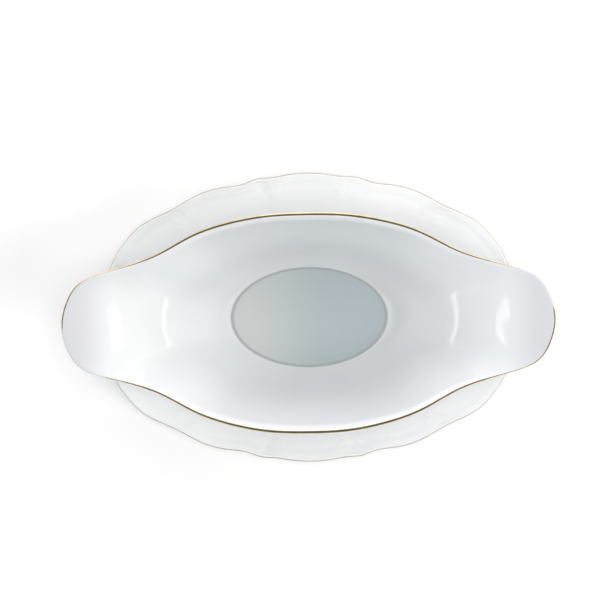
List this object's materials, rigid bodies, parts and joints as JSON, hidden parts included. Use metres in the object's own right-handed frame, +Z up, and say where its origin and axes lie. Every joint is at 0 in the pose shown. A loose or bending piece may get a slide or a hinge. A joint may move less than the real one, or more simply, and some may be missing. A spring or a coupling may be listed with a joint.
{
  "type": "sauce boat with underplate",
  "caption": "Double-lipped oval porcelain sauce boat with a gilt rim, standing loose on a scalloped oval underplate with a gilt edge.",
  "frame": {"origin": "on the table under the middle of the underplate, which is also the middle of the boat", "axes": "+Z up; +X along the boat towards one pouring lip; Y across the boat"},
  "size_m": [0.2458, 0.1554, 0.0802],
  "materials": {
    "porcelain": "clear gloss glaze over white hard-paste porcelain",
    "gilt": "burnished fired gold"
  },
  "bodies": {
    "plate": {"underplate": "porcelain", "underplate_gilt_rim": "gilt"},
    "boat": {"sauce_boat": "porcelain", "sauce_boat_gilt_rim": "gilt"}
  },
  "joints": [
    {"name": "boat_lift", "type": "slide", "parent": "plate", "child": "boat", "axis": [0, 0, 1], "range_m": [0, 0.08]}
  ]
}
